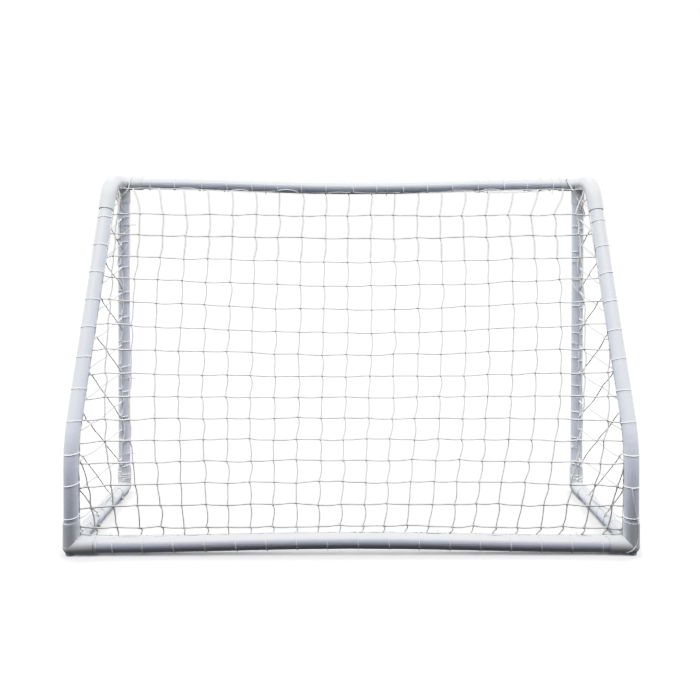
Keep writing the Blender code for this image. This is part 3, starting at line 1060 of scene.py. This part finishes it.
class GOAL_OT_loose_ends(bpy.types.Operator):
    """Add the small knots, extra turns and loose ends of cord"""

    bl_idname = "goal.loose_ends"
    bl_label = "Add loose ends"

    def execute(self, context):
        colours = context.scene.goal_finish
        white = cord_finish("loose_cord", colours.cord_colour)
        # The side bar knots are twine coloured, and darkened further as painted shade.
        darkened_knot_twine = twine_finish("knot_twine", shade(colours.net_colour, 0.9))
        radius = context.scene.goal_lacing.cord * 0.45
        for name, draw in (("knots_side_bar_left", self.side_bar_knots),
                           ("turns_rear_corner_left", self.rear_corner_turns),
                           ("turns_front_elbow_left", self.elbow_turns_left),
                           ("turns_front_elbow_right", self.elbow_turns_right),
                           ("strands_post_left", self.post_strands_left),
                           ("strand_post_right", self.post_strand_right),
                           ("strand_rear_corner_right", self.rear_corner_strand),
                           ("slack_crossbar", self.crossbar_slack),
                           ("stubs_rear_bar", self.rear_bar_stubs)):
            mesh = CordMesh()
            draw(mesh, radius)
            settle(mesh.make(name, darkened_knot_twine if draw == self.side_bar_knots else white), "cord")
        return {"FINISHED"}

    def side_bar_knots(self, mesh, radius):
        """Two pulled-tight knots on the inner side of the left ground bar."""
        for y in (0.135, -0.075):
            centre = Vector((-HALF + TUBE_R + 0.003, y, GROUND - 0.009))
            for lean in (0.0, 0.9, -0.9):
                mesh.hoop(centre, Vector((0.3, lean, 1.0)), radius * 3.0, radius * 1.4)
            tail = [centre, centre + Vector((0.006, -0.002, -0.003)),
                    centre + Vector((0.012, -0.005, -0.010))]
            mesh.cord(smooth(tail, 3), radius * 0.8, 8)
            loop = [centre + Vector((-TUBE_R - radius, 0, 0.004))
                    + Vector((math.cos(math.radians(a)), 0.1 * math.sin(math.radians(a * 2)),
                              math.sin(math.radians(a)))) * (TUBE_R + radius * 0.5)
                    for a in range(-10, 205, 12)]
            mesh.cord(smooth(loop, 2), radius * 0.8, 8)

    def rear_corner_turns(self, mesh, radius):
        """Two turns on the bare bar beside the left corner's socket."""
        lip = -HALF + SOCKET_ARM
        turn = [self.round_rear(lip + 0.0035 + 0.009 * i / 44, 2 * math.pi * i / 22, radius)
                for i in range(45)]
        mesh.cord(smooth(turn, 2), radius * 0.8, 8)

    def round_rear(self, x, angle, radius):
        return round_bar(rear_bar_axis, x, Vector((0, 1, 0)), angle, TUBE_R + radius * 0.6)

    def winding(self, mesh, x, low, high, turns, tilt, knot_at, radius):
        """Slanting turns and a knot round the lower end of a post, over its elbow's socket."""
        steps = 24 * turns
        reach = TUBE_R + SOCKET_WALL + radius * 0.6
        points = []
        for i in range(steps + 1):
            degrees = 15 * i
            z = low + (high - low) * i / steps + tilt * math.cos(math.radians(degrees) + i / steps)
            points.append(round_upright(x, MOUTH, degrees, reach, z))
        mesh.cord(smooth(points, 2), radius, 8)
        knot = Vector((x + knot_at[0], MOUTH - reach - radius, knot_at[1]))
        mesh.knot(knot, Vector((1, 0, 0)), Vector((0, 0, 1)), radius * 1.3)

    def elbow_turns_left(self, mesh, radius):
        self.winding(mesh, -HALF, 0.060, 0.088, 3, 0.006, (0.004, 0.060), radius)

    def elbow_turns_right(self, mesh, radius):
        self.winding(mesh, HALF, 0.064, 0.082, 2, -0.008, (-0.008, 0.062), radius)

    def strand(self, mesh, x, start, end, high, low, radius):
        """A strand that slants down across the front of a post."""
        points = []
        for i in range(13):
            share = i / 12
            out = TUBE_R + radius * (0.7 + 1.6 * math.sin(math.pi * share))
            z = high + (low - high) * share - 0.004 * math.sin(math.pi * share)
            points.append(round_upright(x, MOUTH, start + (end - start) * share, out, z))
        mesh.cord(smooth(points, 2), radius, 8)

    def post_strands_left(self, mesh, radius):
        self.strand(mesh, -HALF, 95, -80, 1.052, 0.985, radius)
        self.strand(mesh, -HALF, 95, -95, 1.000, 0.890, radius * 0.9)

    def post_strand_right(self, mesh, radius):
        self.strand(mesh, HALF, -95, 95, 0.845, 0.735, radius * 0.9)

    def rear_corner_strand(self, mesh, radius):
        """Down the front of the right stanchion's foot, then in under the corner."""
        route = ((0.216, -24, 0.0), (0.175, -8, 0.0), (0.130, 10, 0.0), (0.108, 20, 0.0012),
                 (0.094, 24, SOCKET_WALL), (0.070, 24, SOCKET_WALL), (0.050, 18, SOCKET_WALL),
                 (0.034, 6, SOCKET_WALL))
        points = [round_upright(HALF, REAR, turn, TUBE_R + wall + radius * 0.7, z)
                  for z, turn, wall in route]
        reach = TUBE_R + SOCKET_WALL + radius * 0.7
        for inward, drop in ((0.008, 14), (0.018, 28), (0.026, 38)):
            angle = math.radians(drop)
            points.append(Vector((HALF - inward, REAR - reach * math.cos(angle),
                                  GROUND - reach * math.sin(angle))))
        mesh.cord(smooth(points, 4), radius, 8)

    def crossbar_slack(self, mesh, radius):
        """A slack end that hangs just under the bar, and one short tail."""
        points = []
        for i in range(25):
            x = 0.485 + 0.27 * i / 24
            drop = TUBE_R + 0.003 + 0.004 * math.sin(math.pi * i / 24) + 0.0015 * math.sin(i * 1.9)
            points.append(crossbar_axis(x) + Vector((0, -0.006, -drop)))
        mesh.cord(smooth(points, 3), radius * 0.9, 8)
        start = crossbar_axis(0.785) + Vector((0, -0.012, -TUBE_R * 0.86))
        tail = [start, start + Vector((0.001, -0.002, -0.006)),
                start + Vector((-0.002, -0.003, -0.013)), start + Vector((0.001, -0.003, -0.019))]
        mesh.cord(smooth(tail, 3), radius * 0.8, 8)

    def rear_bar_stubs(self, mesh, radius):
        """Cut ends of the knots that stand up behind the rear bar."""
        for x, lean in ((-0.774, 0.3), (0.274, 0.2), (0.723, -0.35)):
            start = rear_bar_axis(x) + Vector((0, TUBE_R * 0.55, TUBE_R * 0.84))
            stub = [start, start + Vector((lean * 0.004, 0.001, 0.006)),
                    start + Vector((lean * 0.012, 0.002, 0.013))]
            mesh.cord(smooth(stub, 3), radius, 8)


# Light that comes out fully white, and lesser light paired with how bright it is shown
WHITE_LEVEL = 1.36
TONE = ((0.10, 0.085), (0.19, 0.19), (0.33, 0.37), (0.47, 0.55), (0.61, 0.70), (0.75, 0.80),
        (0.93, 0.86), (1.20, 0.90))

# Tilt and width of the two overhead lights, in degrees
GOAL_SUN_TILT = (12, -4, 0)
FLOOR_SUN_TILT = (6, 0, 0)
SUN_SPREAD = 90

# Half width of the floor, and the dark screen behind the goal
FLOOR_HALF = 30
FLAG_HALF = 0.97
FLAG_Y = -0.44
FLAG_TOP = 0.41
FLAG_COLOUR = (0.02, 0.02, 0.025, 1.0)

# Camera, in metres and degrees
CAMERA_PLACE = (-0.020, -2.0844, 0.9959)
CAMERA_TURN = (90 - 0.65, -0.10, -0.364)
CAMERA_SHIFT = -0.1477


class GOAL_OT_studio(bpy.types.Operator):
    """Set the pale floor, the soft light and the camera"""

    bl_idname = "goal.studio"
    bl_label = "Set the studio"

    def execute(self, context):
        studio = context.scene.goal_studio
        floor = self.floor(context, studio)
        flag = self.flag(context)
        self.sky(context, studio)
        self.suns(context, studio, floor, flag)
        self.camera(context, studio)
        self.tone(context)
        return {"FINISHED"}

    def tone(self, context):
        """A soft shoulder for the highlights, so white plastic keeps its shape."""
        view = context.scene.view_settings
        view.view_transform = "Standard"
        view.use_curve_mapping = True
        curves = view.curve_mapping
        curves.white_level = (WHITE_LEVEL,) * 3
        points = curves.curves[3].points
        for light, shown in TONE:
            points.new(light / WHITE_LEVEL, shown)
        curves.update()

    def panel(self, context, name, corners, material):
        """A flat four-cornered piece of the studio."""
        mesh = bpy.data.meshes.new(name)
        mesh.from_pydata(corners, [], [range(4)])
        mesh.materials.append(material)
        panel = bpy.data.objects.new(name, mesh)
        context.scene.collection.objects.link(panel)
        return panel

    def floor(self, context, studio):
        """The pale floor, which throws no light back on the goal."""
        half = FLOOR_HALF
        corners = [(-half, -half, 0), (half, -half, 0), (half, half, 0), (-half, half, 0)]
        floor = self.panel(context, "studio_floor", corners,
                           floor_finish("floor_paint", studio.floor_colour))
        floor.visible_diffuse = False
        floor.visible_glossy = False
        return floor

    def sky(self, context, studio):
        """Soft light from all round: a bright wall in front, a dim room behind and below."""
        world = bpy.data.worlds.new("studio_air")
        world.use_nodes = True
        context.scene.world = world
        sky = Shader(world.node_tree)
        place = sky.node("ShaderNodeTexCoord", output="Generated")
        across, ahead, height = (sky.axis(place, name) for name in "XYZ")
        shine = sky.spread(height, -0.15, 0.9, studio.below, studio.above)
        shine = shine * sky.spread(ahead, -1.0, 0.0, 0.4, 1.0)
        shine = shine + sky.spread(ahead, 0.0, 0.8) * studio.wall
        shine = shine + sky.spread(across, 0.55, 1.0) * studio.side * 1.3
        shine = shine + sky.spread(across, -0.6, -1.0) * studio.side
        shine = shine * sky.spread(height, -0.5, 0.1, 0.3, 1.0)
        seen = sky.node("ShaderNodeLightPath", output="Is Camera Ray")
        strength = shine.math("MAXIMUM", seen * studio.backdrop)
        back = sky.tree.nodes["Background"]
        back.inputs["Color"].default_value = (1.0, 1.0, 1.0, 1.0)
        sky.feed(back.inputs["Strength"], strength)

    def suns(self, context, studio, floor, flag):
        """Broad soft light from overhead: one for the goal, and one for the floor alone."""
        on_floor = bpy.data.collections.new("lit_floor")
        on_floor.objects.link(floor)
        on_goal = bpy.data.collections.new("lit_goal")
        for piece in context.scene.objects:
            if piece.type == "MESH" and piece not in (floor, flag):
                on_goal.objects.link(piece)
        self.sun("overhead_goal", context, studio.key, GOAL_SUN_TILT, on_goal)
        lamp = self.sun("overhead_floor", context, studio.floor_key, FLOOR_SUN_TILT, on_floor)
        blockers = bpy.data.collections.new("floor_blockers")
        blockers.objects.link(flag)
        blockers.collection_objects[0].light_linking.link_state = "EXCLUDE"
        lamp.light_linking.blocker_collection = blockers

    def sun(self, name, context, energy, tilt, lit):
        """A sun that lights one collection only."""
        data = bpy.data.lights.new(name, "SUN")
        data.energy = energy
        data.angle = math.radians(SUN_SPREAD)
        lamp = bpy.data.objects.new(name, data)
        lamp.rotation_euler = [math.radians(angle) for angle in tilt]
        context.scene.collection.objects.link(lamp)
        lamp.light_linking.receiver_collection = lit
        return lamp

    def flag(self, context):
        """A dark screen that keeps the rear foot of the goal in shade; it is never seen itself."""
        half, back, top = FLAG_HALF, FLAG_Y, FLAG_TOP
        corners = [(-half, back, 0), (half, back, 0), (half, back, top), (-half, back, top)]
        flag = self.panel(context, "dark_flag", corners, floor_finish("flag_cloth", FLAG_COLOUR))
        flag.visible_camera = False
        return flag

    def camera(self, context, studio):
        data = bpy.data.cameras.new("camera")
        data.lens = studio.lens
        data.shift_y = CAMERA_SHIFT
        camera = bpy.data.objects.new("camera", data)
        camera.location = CAMERA_PLACE
        camera.rotation_euler = [math.radians(angle) for angle in CAMERA_TURN]
        context.scene.collection.objects.link(camera)
        context.scene.camera = camera


class GOAL_PT_panel(bpy.types.Panel):
    """Sidebar list of the steps that dress the goal"""

    bl_idname = "GOAL_PT_panel"
    bl_label = "Soccer goal"
    bl_space_type = "VIEW_3D"
    bl_region_type = "UI"
    bl_category = "Goal"

    def draw(self, context):
        for step in STEPS:
            self.layout.operator(step.bl_idname)


SETTINGS = {
    "goal_finish": GOAL_PG_finish,
    "goal_net": GOAL_PG_net,
    "goal_lacing": GOAL_PG_lacing,
    "goal_studio": GOAL_PG_studio,
}
STEPS = (GOAL_OT_tubes, GOAL_OT_fittings, GOAL_OT_back_net, GOAL_OT_side_nets,
         GOAL_OT_lacing, GOAL_OT_ties, GOAL_OT_corner_cords, GOAL_OT_loose_ends,
         GOAL_OT_studio)


def register():
    for cls in (*SETTINGS.values(), *STEPS, GOAL_PT_panel):
        bpy.utils.register_class(cls)
    for name, group in SETTINGS.items():
        setattr(bpy.types.Scene, name, PointerProperty(type=group))


def unregister():
    for name in SETTINGS:
        delattr(bpy.types.Scene, name)
    for cls in (GOAL_PT_panel, *reversed(STEPS), *reversed(SETTINGS.values())):
        bpy.utils.unregister_class(cls)


def main():
    register()
    for step in STEPS:
        group, name = step.bl_idname.split(".")
        getattr(getattr(bpy.ops, group), name)()


if __name__ == "__main__":
    main()
